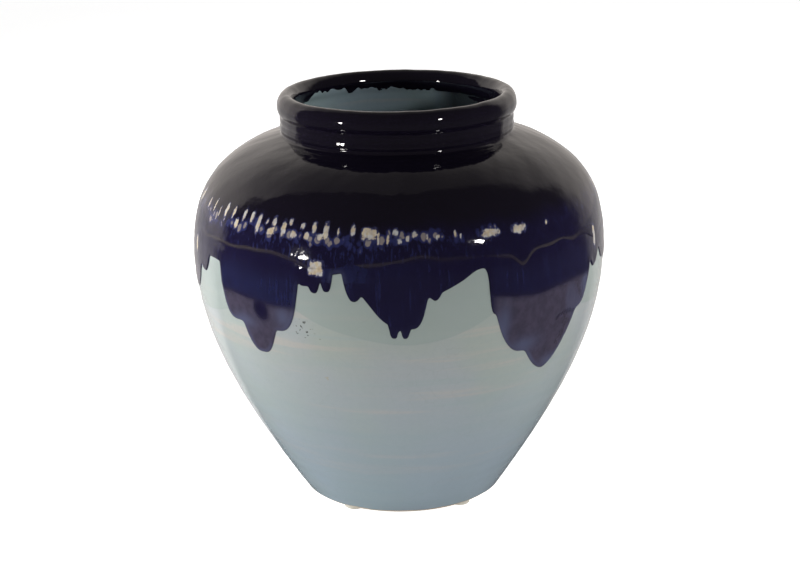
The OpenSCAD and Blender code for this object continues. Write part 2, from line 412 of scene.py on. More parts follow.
# Tongues and drips of the cobalt coat. Each is its azimuth in degrees, its tip's height in millimetres, how
# far its left and right sides lie from it 20 mm above the tip, in degrees, and how square its end is
TONGUES = (
    (-92, 168, 9, 8, 2.2), (-77, 194, 9, 7.5, 2.4), (-66, 215.5, 5, 4.2, 2.6), (-41, 162, 5.6, 5.8, 2.3),
    (-41.5, 185, 13.2, 13.2, 8), (-25, 226, 4, 7, 3), (-22.6, 221.5, 2.1, 2.1, 3.4),
    (-19.1, 223, 2.0, 1.9, 3.4), (-12, 216.5, 2.9, 3.8, 2.3), (-0.3, 193, 7.4, 6.0, 1.35),
    (2.4, 194, 5, 4.2, 3.2), (-1.6, 186.6, 1.8, 1.35, 3.6), (1.1, 186.6, 1.35, 1.8, 3.6),
    (9, 216.8, 2.0, 2.6, 2.4), (8, 219, 5, 12, 1.15), (26, 201, 2.5, 4, 5), (38, 163, 10.4, 12, 3.5),
    (45, 141, 8.4, 6.6, 1.6), (42, 184, 15.4, 19.6, 8), (65.8, 214, 4.4, 6, 2.2), (77, 213, 7, 9, 3),
    (93, 179, 6, 6, 2.2), (94, 196, 10, 9, 5), (105, 217, 2, 2, 2.4), (128, 155, 5.5, 5, 2),
    (127, 184, 12, 13, 7), (143, 219, 1.4, 1.4, 3), (148, 222, 1.3, 1.4, 3), (168, 189, 6, 5, 1.7),
    (166.6, 185, 1.3, 1.3, 3.2), (171, 192, 1.3, 1.3, 3), (205, 149, 6, 6.5, 2), (206, 178, 14, 13, 7),
    (224, 214, 2.6, 2.2, 2),
    (243, 181, 5.4, 5, 2), (242, 203, 9, 9.5, 5), (256, 222, 1.4, 1.3, 3),
)
# Pools, where a tongue's glaze thins below a line: azimuth and half width in degrees, the line's height in
# millimetres, how much the pool thins, and how blue the glaze stays above the line
POOLS = (
    (-41, 14, 208, 1.0, 0.75), (43.5, 18.5, 214, 1.0, 0.25), (-92, 12, 205, 0.8, 0.4),
    (94, 12, 205, 0.5, 0.8), (127, 15, 203, 1.0, 0.5), (206, 16, 206, 1.0, 0.9), (243, 11, 210, 0.7, 0.3),
    (-14, 6, 232, 0.0, 0.7),
)
# Cream patches where the dark coat breaks: azimuth in degrees, then height, half width and half height in
# millimetres
PATCHES = (
    (-22, 241.4, 5.6, 5.2), (-8, 268.5, 5.6, 3.8), (25, 264.8, 7.6, 2.6), (34, 264.6, 6.4, 2.6),
    (67, 238.5, 2.1, 8.5), (-74, 232, 2.4, 6.5), (97, 262, 6.0, 2.8), (131, 257, 4.2, 5.2),
    (176, 266, 7.0, 3.0), (214, 262, 5.2, 4.4), (251, 243, 4.6, 5.0), (236, 266, 3.4, 5.0),
)
# Smaller flecks on the front, in the same terms
FLECKS = (
    (-70, 268.5, 1.1, 4), (-65, 269.5, 1.1, 4.5), (-61, 267, 1.0, 4), (-57.5, 270, 1.7, 5),
    (-53.5, 271, 1.5, 4), (-51, 263.5, 2.3, 3.6), (-48.5, 271, 1.5, 5), (-45, 271, 1.7, 4),
    (-42, 268, 2.1, 6.5), (-39, 270, 1.3, 2), (-36.5, 271, 1.9, 3.6), (-37, 263.8, 3.6, 2.0),
    (-33, 267, 1.9, 6), (-31, 273, 1.8, 1.9), (-29.5, 264.3, 2.8, 2.7), (-27, 271, 1.7, 1.9),
    (-25.5, 264.5, 2.2, 2.5), (-23.5, 270.5, 1.8, 4), (-20, 269, 2.1, 5.5), (-21.6, 264.5, 2.6, 2.0),
    (-16.5, 268.5, 1.2, 2.8), (-12.5, 270.5, 1.8, 3.8), (-5.5, 265.5, 1.2, 4), (-3, 265, 1.2, 3.4),
    (-1, 269.5, 1.9, 2.3), (0, 263.5, 1.8, 1.9), (2.2, 265.5, 1.2, 2), (4.2, 268, 2.2, 1.9),
    (7.4, 266, 1.2, 1.9), (10.2, 265.8, 1.5, 1.9), (15, 267, 1.1, 2), (16.5, 264.5, 1.1, 1.4),
    (44, 265, 1.2, 1.2),
)
# Sags of the dark coat's lower edge, then runs of its edge inside the neck: azimuth in degrees, drop in
# millimetres, width in degrees
SAGS = (
    (-21, 11, 7), (-10, 4, 5), (9, -4, 6), (33.8, 9, 2.6), (70, 10, 5), (150, 8, 3), (-82, 9, 6), (222, 7, 4),
)
RUNS = ((-104, 12, 12), (-152, 5, 1.6), (-170, 4, 1.2), (168, 2, 5), (120, 5, 9), (60, 6, 8), (-30, 6, 9))
# Where the flecks crowd: azimuth and half width in degrees, and how much they do
CROWDS = ((-32, 44, 1.0), (18, 9, 0.55), (105, 26, 0.9), (160, 20, 0.6), (225, 34, 1.0))
# Bluish veils inside the pools: azimuth in degrees, height in millimetres, then half width in degrees and
# half height in millimetres
VEILS = (
    (-32, 198, 2.6, 9), (28, 192, 2.0, 15), (35, 169, 5, 7), (47, 147, 4, 6), (60, 205, 2.2, 14),
    (-46, 188, 4, 6), (206, 180, 4, 12), (97, 190, 3, 9),
)


def sagged(height, az, places):
    """An edge's height, lowered at each place by its drop times a bell over its width."""
    for centre, drop, width in places:
        height = height - drop * np.exp(-(nearest_turn(az, centre) / width) ** 2)
    return height


def cobalt_edge(az):
    """Height of the cobalt coat's edge: the soft lowest of a wavy line and every tongue.

    A tongue's side rises 20 mm over its half width, as a power of the distance from its middle.
    """
    glaze = bpy.context.scene.vase_glaze
    soft = 1.3
    line = glaze.cobalt_z + 2.2 * ripple(az, 0, 46, 1, 11) + 3 * np.sin(az + 0.6)
    total = np.exp(-line / soft)
    for centre, tip, left, right, square in TONGUES:
        off = nearest_turn(az, centre)
        side = np.abs(off) / np.where(off < 0, left, right)
        total = total + np.exp(-np.minimum(tip + 20 * side ** square, 280) / soft)
    return -soft * np.log(total) + 0.45 * ripple(az, 0, 5, 1, 12)


def fleck_field(az, height):
    """1 inside a patch or fleck, 0.5 on its border and 0 beyond: 1.5 less the distance out in half sizes.

    The distance is that of a superellipse. Those behind the vase fall by chance into the same band.
    """
    rng = np.random.default_rng(64)
    behind = np.stack([rng.uniform(80, 282, 46), rng.normal(267, 3, 46), rng.uniform(1.1, 2.6, 46),
                       rng.uniform(2, 6, 46)], 1)
    field = 0 * az * height
    for centre, level, half_w, half_h in PATCHES + FLECKS + tuple(behind):
        off = np.abs(nearest_turn(az, centre)) * 3.0 / half_w
        up = np.abs(height - level) / half_h
        square = 4 if half_w > 4 or half_h > 7 else 2.4
        field = np.maximum(field, np.clip(1.5 - (off ** square + up ** square) ** (1 / square), 0, 1))
    return field


def dark_edge(az):
    """Height of the dark coat's lower edge: a level line with slow waves, small scallops and a few sags."""
    glaze = bpy.context.scene.vase_glaze
    return sagged(glaze.dark_z + 1.2 * ripple(az, 0, 60, 1, 21) + 0.7 * ripple(az, 0, 9, 1, 22), az, SAGS)


def inner_edge(az):
    """Height of the dark coat's ragged edge inside the neck: slow waves, teeth and a few runs."""
    teeth = 1.2 * ripple(az, 0, 40, 1, 31) + 0.9 * ripple(az, 0, 4, 1, 32)
    return sagged(COLLAR[2] - 15 + teeth - 6 * np.sin(az), az, RUNS)


# ---------------------------------------------------------------- shader maths

class Wire:
    """A shader value or colour. Arithmetic on it adds Math nodes to its material."""

    def __init__(self, paint, socket):
        self.paint, self.socket = paint, socket

    def _math(self, operation, first, second):
        return self.paint.node("ShaderNodeMath", {"operation": operation}, {0: first, 1: second})

    def __add__(self, other):
        return self._math("ADD", self, other)

    def __radd__(self, other):
        return self._math("ADD", other, self)

    def __sub__(self, other):
        return self._math("SUBTRACT", self, other)

    def __rsub__(self, other):
        return self._math("SUBTRACT", other, self)

    def __mul__(self, other):
        return self._math("MULTIPLY", self, other)

    def __rmul__(self, other):
        return self._math("MULTIPLY", other, self)


class Paint:
    """A material or world under construction. node adds any node, the other methods add the usual ones."""

    def __init__(self, owner, place="Object"):
        self.owner = owner
        owner.use_nodes = True
        self.tree = owner.node_tree
        self.tree.nodes.clear()
        self.place = self.node("ShaderNodeTexCoord", out=place)

    def node(self, kind, settings=None, inputs=None, out=0):
        """Adds a node: its settings first, then its sockets' values or links. Gives one of its outputs."""
        made = self.tree.nodes.new(kind)
        for key, value in (settings or {}).items():
            setattr(made, key, value)
        for key, value in (inputs or {}).items():
            if isinstance(value, Wire):
                self.tree.links.new(value.socket, made.inputs[key])
            else:
                made.inputs[key].default_value = value
        return Wire(self, made.outputs[out]) if made.outputs else None

    def mark(self, name):
        """A value that the mesh carries at each point."""
        return self.node("ShaderNodeAttribute", {"attribute_name": name}, out="Fac")

    def stretched(self, x, y, z):
        """The piece's own coordinates, stretched."""
        return self.node("ShaderNodeVectorMath", {"operation": "MULTIPLY"}, {0: self.place, 1: (x, y, z)})

    def noise(self, size, detail=3.0, rough=0.5, place=None, warp=0.0):
        """Soft noise between 0 and 1, whose swells are about size metres wide."""
        return self.node("ShaderNodeTexNoise", {}, {"Vector": place or self.place, "Scale": 1 / size,
                         "Detail": detail, "Roughness": rough, "Distortion": warp})

    def cells(self, size, feature="F1", place=None, out="Distance", loose=1.0):
        """Distances in a pattern of cells about size metres wide."""
        return self.node("ShaderNodeTexVoronoi", {"feature": feature},
                         {"Vector": place or self.place, "Scale": 1 / size, "Randomness": loose}, out=out)

    def step(self, value, low, high, start=0.0, end=1.0):
        """Smooth step: start at low, end at high."""
        return self.node("ShaderNodeMapRange", {"interpolation_type": "SMOOTHSTEP"},
                         {"Value": value, "From Min": low, "From Max": high, "To Min": start, "To Max": end})

    def mix(self, factor, first, second):
        """Colours mixed by a factor."""
        def filled(colour):
            return colour if isinstance(colour, Wire) else (*tuple(colour)[:3], 1.0)
        colours = {6: filled(first), 7: filled(second)}
        return self.node("ShaderNodeMix", {"data_type": "RGBA"}, {0: factor, **colours}, out=2)

    def bump(self, height, depth, normal=None):
        """A bump of a depth in metres, on top of another normal if one is given."""
        inputs = {"Height": height, "Strength": 1.0, "Distance": depth}
        if normal:
            inputs["Normal"] = normal
        return self.node("ShaderNodeBump", {}, inputs)

    def surface(self, colour, roughness, normal, **constants):
        """Closes the material with a principled surface."""
        inputs = {"Base Color": colour, "Roughness": roughness, "Normal": normal}
        inputs.update({key.replace("_", " "): value for key, value in constants.items()})
        return self.close(self.node("ShaderNodeBsdfPrincipled", {}, inputs))

    def close(self, shader, end="ShaderNodeOutputMaterial"):
        """Links a shader to the output, and gives the material or world."""
        self.node(end, {}, {"Surface": shader})
        return self.owner


def glassy_bump(paint):
    """The glaze's own surface: a slow orange peel, finer pits and the odd pinhole."""
    peel = paint.bump(paint.noise(0.0110, 2.0), 0.00022)
    fine = paint.bump(paint.noise(0.0026, 2.0), 0.00003, peel)
    pits = paint.step(paint.cells(0.0075), 0.0, 0.07)
    return paint.bump(pits, 0.00012, fine)


def crazing(paint, size):
    """Hairline cracks: the borders of warped cells, strong in some places and gone in others."""
    warped = paint.node("ShaderNodeVectorMath", {"operation": "ADD"}, {
        0: paint.place, 1: paint.node("ShaderNodeVectorMath", {"operation": "SCALE"}, {
            0: paint.node("ShaderNodeTexNoise", {}, {"Vector": paint.place, "Scale": 90.0}, out="Color"),
            "Scale": 0.006})})
    border = paint.cells(size, "DISTANCE_TO_EDGE", warped)
    where = paint.step(paint.noise(0.05), 0.45, 0.62)
    return paint.step(border, 0.0, 0.028, 1.0, 0.0) * where


def pale_glaze(name, colour, depth):
    """Pale blue glaze: slow green and pink drifts, level throwing bands, mottling, specks and crazing.

    depth is how much it deepens towards the foot. It is 0 for the lining, which gets no swags and a painted
    shade: near-black high on the right of its inside.
    """
    paint = Paint(bpy.data.materials.new(name))
    red, green, blue = colour
    level = paint.stretched(0.06, 0.06, 1.0)
    body = paint.mix(paint.step(paint.noise(0.09), 0.35, 0.65), (red * 0.97, green * 1.01, blue * 0.97),
                     (red * 0.99, green, blue * 1.06))
    bands = paint.noise(0.011, 3.0, 0.6, level)
    body = paint.mix(paint.step(bands, 0.52, 0.70, 0.0, 0.70), body, (red * 1.20, green * 1.05, blue * 1.00))
    body = paint.mix(paint.step(bands, 0.30, 0.46, 0.55, 0.0), body, (red * 0.90, green * 0.99, blue * 1.01))
    body = paint.mix(paint.step(paint.noise(0.004, 4.0, 0.65), 0.40, 0.70, 0.0, 0.22), body,
                     (red * 0.86, green * 0.90, blue * 0.93))
    height = paint.node("ShaderNodeSeparateXYZ", {}, {0: paint.place}, out="Z")
    low_down = paint.step(height, 0.02, 0.19, depth, 0.0)
    body = paint.mix(low_down, body, (red * 0.62, green * 0.81, blue * 1.04))
    if depth:
        body = speckled(paint, body, (-0.0754, -0.1546, 0.190), 0.011, (0.025, 0.027, 0.024))
        body = speckled(paint, body, (-0.0595, -0.1560, 0.147), 0.006, (0.30, 0.22, 0.11))
        swag = paint.mark("swag")
        wash = paint.step(swag, 0.48, 0.53, 0.0, 0.8)
        body = paint.mix(wash, body, (red * 0.84, green * 0.92, blue * 0.90))
        line = paint.step(swag, 0.40, 0.50) * paint.step(swag, 0.50, 0.56, 1.0, 0.0)
        body = paint.mix(line * 0.30, body, (red * 0.72, green * 0.80, blue * 0.84))
    else:
        # painted shade: the lining turns near-black where its mark is, standing in for the shadow inside the
        # mouth
        body = paint.mix(paint.mark("painted_shade"), body, (0.010, 0.012, 0.014))
    body = paint.mix(crazing(paint, 0.016) * 0.08, body, (red * 0.55, green * 0.55, blue * 0.52))
    specks = paint.step(paint.cells(0.021), 0.012, 0.030, 1.0, 0.0)
    dots = paint.step(paint.noise(0.03), 0.50, 0.60) * specks
    body = paint.mix(dots * 0.75, body, (0.05, 0.05, 0.045))
    roughness = paint.step(paint.noise(0.02), 0.3, 0.7, 0.05, 0.10)
    return paint.surface(body, roughness, glassy_bump(paint), IOR=1.5, Coat_Weight=0.15, Coat_Roughness=0.03)


def speckled(paint, body, spot, reach, colour):
    """A cluster of specks: small islands of noise, kept within a distance of one spot."""
    gap = paint.node("ShaderNodeVectorMath", {"operation": "DISTANCE"}, {0: paint.place, 1: spot},
                     out="Value")
    near = paint.step(gap, 0.4 * reach, reach, 1.0, 0.0)
    return paint.mix(near * paint.step(paint.noise(0.0030, 2.0), 0.58, 0.63), body, colour)


def cobalt_glaze(glaze):
    """Cobalt: deep navy where thick, blue where it thins, purple-grey in the pools, with streaks down it."""
    paint = Paint(bpy.data.materials.new("cobalt_glaze"))
    streaks = paint.noise(0.0030, 3.0, 0.6, paint.stretched(1.0, 1.0, 0.10))
    mottle = paint.noise(0.007, 4.0, 0.6)
    blue = paint.mark("blue") * paint.step(mottle, 0.25, 0.70, 0.45, 1.0)
    body = paint.mix(blue, glaze.deep, glaze.blue)
    body = paint.mix(paint.step(streaks, 0.50, 0.80, 0.0, 0.35) * (1 - paint.mark("thin")), body,
                     tuple(1.7 * c for c in glaze.blue))
    pool = paint.mix(paint.step(mottle, 0.30, 0.70), glaze.thin, tuple(0.72 * c for c in glaze.thin))
    pool = paint.mix(paint.mark("patch"), pool, glaze.veil)
    body = paint.mix(paint.mark("thin"), body, pool)
    body = paint.mix(paint.mark("veil") * paint.step(mottle, 0.25, 0.6, 0.6, 1.0), body, glaze.veil)
    body = flecked(paint, paint.mix(paint.mark("line"), body, glaze.deep), glaze)
    roughness = paint.step(paint.noise(0.02), 0.3, 0.7, 0.025, 0.05)
    return paint.surface(body, roughness, glassy_bump(paint), IOR=1.54)


def flecked(paint, body, glaze):
    """Cream patches with ragged borders and blue haloes, laid over a coat's colour."""
    ragged = paint.noise(0.0028, 5.0, 0.70, paint.stretched(1.0, 1.0, 0.55))
    mark = paint.mark("fleck")
    field = mark + 1.8 * (ragged - 0.5) * paint.step(mark, 0.02, 0.35)
    red, green, blue = glaze.cream
    tint = paint.mix(paint.step(paint.noise(0.005, 3.0), 0.40, 0.60), glaze.cream,
                     (red * 0.86, green * 1.02, blue * 1.45))
    burnt = paint.step(ragged, 0.35, 0.65, 0.55, 0.0)
    tint = paint.mix(burnt, tint, (red * 0.55, green * 0.48, blue * 0.42))
    halo = paint.step(field, 0.05, 0.50, 0.0, 0.85)
    body = paint.mix(halo, body, (glaze.blue[0] * 4, glaze.blue[1] * 3.6, glaze.blue[2] * 2.4))
    return paint.mix(paint.step(field, 0.44, 0.60), body, tint)


def dark_glaze(glaze):
    """The top glaze: near-black, bluer low down, with cream flecks, their blue haloes and streaks below."""
    paint = Paint(bpy.data.materials.new("dark_glaze"))
    band = paint.mark("band")
    streaks = paint.noise(0.0024, 3.0, 0.6, paint.stretched(1.0, 1.0, 0.16))
    body = paint.mix(paint.mark("low"), glaze.dark, tuple(0.9 * c for c in glaze.deep))
    body = paint.mix(paint.step(streaks, 0.50, 0.72, 0.0, 0.75) * paint.mark("rain"), body,
                     tuple(1.5 * c for c in glaze.blue))
    warp = paint.noise(0.003, 3.0)
    fleck_place = paint.stretched(1.0, 1.0, 0.40)
    flecks = paint.cells(0.0052, "F1", fleck_place, loose=0.9) + 0.55 * (warp - 0.5)
    shades = paint.cells(0.0052, "F1", fleck_place, out="Color", loose=0.9)
    chance = paint.node("ShaderNodeSeparateColor", {}, {0: shades})
    room = band * paint.step(chance, 0.12, 0.45, 0.3, 1.15)
    near = paint.step(flecks - 0.62 * room, -0.10, 0.34, 1.0, 0.0) * paint.step(band, 0.05, 0.4)
    body = paint.mix(near * 0.75, body, tuple(2.0 * c for c in glaze.blue))
    cream = paint.step(flecks - 0.42 * room, -0.09, 0.05, 1.0, 0.0) * paint.step(band, 0.1, 0.5)
    body = paint.mix(cream * 0.35, body, glaze.cream)
    body = flecked(paint, body, glaze)
    stars = paint.step(paint.cells(0.030), 0.010, 0.022, 1.0, 0.0)
    body = paint.mix(stars * 0.8, body, (0.45, 0.45, 0.44))
    body = paint.mix(paint.mark("rim"), body, (0.034, 0.029, 0.030))
    roughness = paint.step(paint.noise(0.02), 0.3, 0.7, 0.03, 0.06)
    return paint.surface(body, roughness, glassy_bump(paint), IOR=1.54)


def bare_clay(glaze):
    """Fired clay: gritty, with turning lines, darker grog and a toasted blush."""
    paint = Paint(bpy.data.materials.new("bare_clay"))
    red, green, blue = glaze.clay
    blush = paint.step(paint.noise(0.03), 0.35, 0.65)
    body = paint.mix(blush, glaze.clay, (red * 0.80, green * 0.70, blue * 0.62))
    grog = paint.step(paint.cells(0.0026), 0.08, 0.16, 1.0, 0.0)
    body = paint.mix(grog * 0.45, body, (0.16, 0.11, 0.08))
    body = paint.mix(paint.noise(0.0012, 3.0) * 0.3, body, (red * 1.2, green * 1.2, blue * 1.2))
    grit = paint.bump(paint.noise(0.0011, 4.0), 0.00012)
    return paint.surface(body, paint.step(paint.noise(0.004), 0.3, 0.7, 0.72, 0.88), grit, IOR=1.45)


def felt(glaze):
    """Pressed felt: matted fibres of two shades."""
    paint = Paint(bpy.data.materials.new("felt_pad"))
    red, green, blue = glaze.felt
    fibres = paint.noise(0.0009, 5.0, 0.7, warp=1.4)
    body = paint.mix(paint.step(fibres, 0.35, 0.65), (red * 0.78, green * 0.76, blue * 0.70), glaze.felt)
    matted = paint.bump(fibres, 0.00035)
    return paint.surface(body, paint.step(fibres, 0.3, 0.7, 0.80, 0.95), matted, IOR=1.4, Sheen_Weight=0.4)


def compass(paint):
    """The azimuth of a place or direction, in radians."""
    x = paint.node("ShaderNodeSeparateXYZ", {}, {0: paint.place}, out="X")
    y = paint.node("ShaderNodeSeparateXYZ", {}, {0: paint.place}, out="Y")
    return paint.node("ShaderNodeMath", {"operation": "ARCTAN2"}, {0: x, 1: 0 - y})


def white_walls(paint):
    """1 where a place or direction lies beside or behind the vase, 0 in front.

    The step between them is crisp on the left and soft on the right.
    """
    turn = compass(paint)
    left = paint.step(turn, math.radians(-117), math.radians(-109), 1.0, 0.0)
    return left + paint.step(turn, math.radians(114), math.radians(134), 0.0, 0.85)


# ---------------------------------------------------------------- operators

class VaseStep(bpy.types.Operator):
    """Common to every step: what each one makes, it makes from the scene's settings"""
    bl_options = {"REGISTER", "UNDO"}


class VASE_OT_clay(VaseStep):
    """Throws the four clay sections: foot and floor, lower wall, shoulder, collar with its lip"""
    bl_idname = "vase.clay"
    bl_label = "Clay sections"

    def execute(self, context):
        v = context.scene.vase_shape
        outline = clay_outline(v)
        material = bare_clay(context.scene.vase_glaze)
        az = around(256)
        crest = outline.s[int(np.argmax(outline.z))]
        floor = outline.walk_to(v.foot_z + v.floor_z + 0.02, crest)
        cuts = [outline.walk_to(z) for z in (v.foot_z + 11, v.belly_z, v.root_z)]
        inner = [outline.walk_to(z, crest) for z in (v.foot_z + 17, v.belly_z, v.root_z - v.wall)]
        for node, low, high in zip(CLAY_NODES[1:3], (0, 1), (1, 2)):
            s = np.r_[np.linspace(cuts[low], cuts[high], 40), np.linspace(inner[high], inner[low], 40)]
            radius, height = outline.at(s[:, None] + 0 * az)
            section = surface(node + "_clay", thrown(az + 0 * height, radius, height))
            finish_piece(section, material, "bare_clay", node)
        s = np.linspace(cuts[2], inner[2], 140)[:, None] + 0 * az
        collar = surface("collar_clay", thrown(az + 0 * s, *outline.at(s)))
        finish_piece(collar, material, "bare_clay", CLAY_NODES[3])
        ring = v.foot_r - v.ring_w
        under = np.vstack([
            [[0, v.recess_h]], np.stack([np.linspace(6, ring - 4, 18), np.full(18, v.recess_h)], 1),
            arc((ring - 4, v.recess_h - 2), 2, 2, 90, 0, 4)[1:] + [2, 0],
            arc((ring, 1.2), 1.2, 1.2, 180, 270, 4),
            np.stack([np.linspace(ring + 3, v.foot_r - 3, 12), np.zeros(12)], 1),
            arc((v.foot_r - 1.4, 1.4), 1.4, 1.4, 270, 340, 4)])
        under[:, 1] += v.foot_z
        rise = np.stack(outline.at(np.linspace(2.2, cuts[0], 6)), 1)
        inside = np.stack(outline.at(np.linspace(inner[0], floor, 8)), 1)
        top = np.stack([np.linspace(inside[-1][0] - 4, 6, 10), np.full(10, inside[-1][1])], 1)
        rows = np.vstack([under, rise, inside, top, [[0, top[-1][1]]]])
        radius, height = rows[:, :1], rows[:, 1:]
        turning = 0.14 * np.sin(radius * 1.9 + az) * (height < v.foot_z + v.recess_h + 0.5)
        grid = thrown(az + 0 * radius, radius + 0 * az, height - np.abs(turning) * (radius > 5))
        grid[..., 2] = np.maximum(grid[..., 2], v.foot_z)
        foot = surface("foot_clay", grid, closed=False, poles=True)
        finish_piece(foot, material, "bare_clay", CLAY_NODES[0])
        return {"FINISHED"}


class VASE_OT_lining(VaseStep):
    """Pours the pale lining, from the lip's crest down to the middle of the floor"""
    bl_idname = "vase.lining"
    bl_label = "Lining"

    def execute(self, context):
        glaze = context.scene.vase_glaze
        outline = clay_outline(context.scene.vase_shape)
        az = around(360)
        crest, middle = outline.s[int(np.argmax(outline.z))], outline.s[-1]
        rows, back_rows, sink = 170, 80, 0.1
        front = crest + (middle - crest) * paces(outline, crest, middle, rows)
        behind = crest + (middle - crest) * paces(outline, crest, middle, back_rows)
        s = np.r_[behind[::-1], front][:, None] + 0 * az
        lift = np.r_[np.full(back_rows, -sink), np.full(rows, glaze.lining_t)][:, None]
        radius, height = outline.at(s, lift)
        grid = thrown(az + 0 * s, radius, height)
        grid[0, :, :2], grid[-1, :, :2] = 0, 0
        # painted shade: the lining is darkened high on the right of the inside, about 64 to 144 degrees round
        # and fading out below, standing in for the shadow in the mouth
        painted_shade = smooth(-np.abs(nearest_turn(az, 104)), -58, -40)
        painted_shade = painted_shade * smooth(height, COLLAR[2] - 190, COLLAR[2] - 110)
        piece = surface("lining", grid, closed=False, poles=True, marks={"painted_shade": 0.92 * painted_shade})
        finish_piece(piece, pale_glaze("lining_glaze", glaze.lining, 0.0), "lining_glaze", "inside_glaze")
        return {"FINISHED"}


class VASE_OT_pale_coat(VaseStep):
    """Dips the body in the pale base coat, from the bare band at the foot up to the lip's crest"""
    bl_idname = "vase.pale_coat"
    bl_label = "Pale coat"

    def execute(self, context):
        glaze = context.scene.vase_glaze
        shape = context.scene.vase_shape
        outline = clay_outline(shape)
        low = outline.walk_to(shape.foot_z + 0.6 * shape.bare_h)
        crest = outline.s[int(np.argmax(outline.z))]

        def start(az):
            return low + 0.35 * ripple(az, 0, 14, 1, 41)

        def end(az):
            return crest + 0 * az

        def thickness(az, s):
            return glaze.pale_t * np.sqrt(np.clip((s - start(az)) / 1.2, 0, 1))

        def marks(az, s, height):
            off = (np.degrees(az) + 36) % 72 - 36
            line = 181.8 + 0.032 * off ** 2 + 0.8 * ripple(az, 0, 20, 1, 42)
            return {"swag": np.clip((height - line) / 12 + 0.5, 0, 1)}

        piece = coat("pale_blue_coat", outline, 400, 150, 96, start, end, lambda az, s: 0 * s, thickness,
                     marks=marks)
        material = pale_glaze("pale_blue_glaze", glaze.pale, 0.55)
        finish_piece(piece, material, "pale_blue_glaze", "pale_blue_glaze")
        return {"FINISHED"}


class VASE_OT_cobalt_coat(VaseStep):
    """Pours the cobalt coat, which has run down the body in tongues and drips"""
    bl_idname = "vase.cobalt_coat"
    bl_label = "Cobalt coat"

    def execute(self, context):
        glaze = context.scene.vase_glaze
        outline = clay_outline(context.scene.vase_shape)
        top = outline.walk_to(ROOT[2] - 22)
        fine = around(4320)
        edge = outline.walk_to(cobalt_edge(fine))

        def start(az):
            return outline.walk_to(cobalt_edge(az))

        def end(az):
            return top + 0 * az

        def thickness(az, s):
            d = edge_distance(outline, az, s, [(fine, edge)])
            bead = 0.10 * np.exp(-((d - 2.2) / 1.6) ** 2)
            swell = 0.06 * ripple(az, s, 9, 16, 51) * smooth(d, 2, 8)
            rounded = np.sqrt(1 - (1 - np.clip(d / 2.0, 0, 1)) ** 2)
            full = glaze.cobalt_t * (1 - 0.35 * smooth(d, 6, 20)) + bead + swell
            return full * rounded * (1 - 0.5 * smooth(s, top - 30, top))

        def marks(az, s, height):
            d = edge_distance(outline, az, s, [(fine, edge)])
            thin, line = 0 * s, 0 * s
            blue = 0.16 + 0.10 * ripple(az, height, 40, 30, 52)
            for centre, half, level, thins, blueness in POOLS:
                off = nearest_turn(az, centre)
                inside = smooth(-np.abs(off), -half - 1.5, -half + 1.5)
                level = level + 1.6 * ripple(az, 0, 16, 1, 53) - 0.06 * np.abs(off)
                below = level - height
                thin = np.maximum(thin, thins * inside * smooth(below, -3.0, 4.0))
                along = 0.85 * thins * inside * (0.6 + 0.4 * ripple(az, 0, 12, 1, 54))
                line = np.maximum(line, along * np.exp(-((below + 0.9) / 1.3) ** 2))
                above = smooth(below, -30, -14) * (1 - smooth(below, -1, 1))
                blue = np.maximum(blue, blueness * inside * above)
            veil = 0.55 * smooth(-d, -4.6, -1.6) * np.maximum(thin, 0.7 * blue)
            veil = veil * (0.75 + 0.25 * ripple(az, s, 9, 9, 55))
            spot = nearest_turn(az, -39.4) * 3.0 / 8.6
            line = np.maximum(line, np.exp(-(spot ** 2 + ((height - 200.6 + 1.5 * spot) / 9.0) ** 2) ** 3))
            arc_off = nearest_turn(az, 51) * 3.0
            line = np.maximum(line, np.exp(-((height - 187 + 0.018 * arc_off ** 2) / 0.9) ** 2)
                              * smooth(-np.abs(arc_off), -15, -9))
            patch = 0.35 * smooth(ripple(az, height, 11, 15, 56), 0.7, 1.5)
            for centre, level, half, tall in VEILS:
                off = (nearest_turn(az, centre) / half) ** 2 + ((height - level) / tall) ** 2
                patch = np.maximum(patch, 0.8 * np.exp(-off))
            named = {"thin": thin, "blue": blue, "line": line, "veil": veil, "patch": patch,
                     "fleck": fleck_field(az, height)}
            return {mark: np.clip(value, 0, 1) for mark, value in named.items()}

        piece = coat("cobalt_coat", outline, 1080, 72, 18, start, end, lambda az, s: glaze.pale_t + 0 * s,
                     thickness, marks=marks)
        finish_piece(piece, cobalt_glaze(glaze), "cobalt_glaze", "cobalt_glaze")
        return {"FINISHED"}


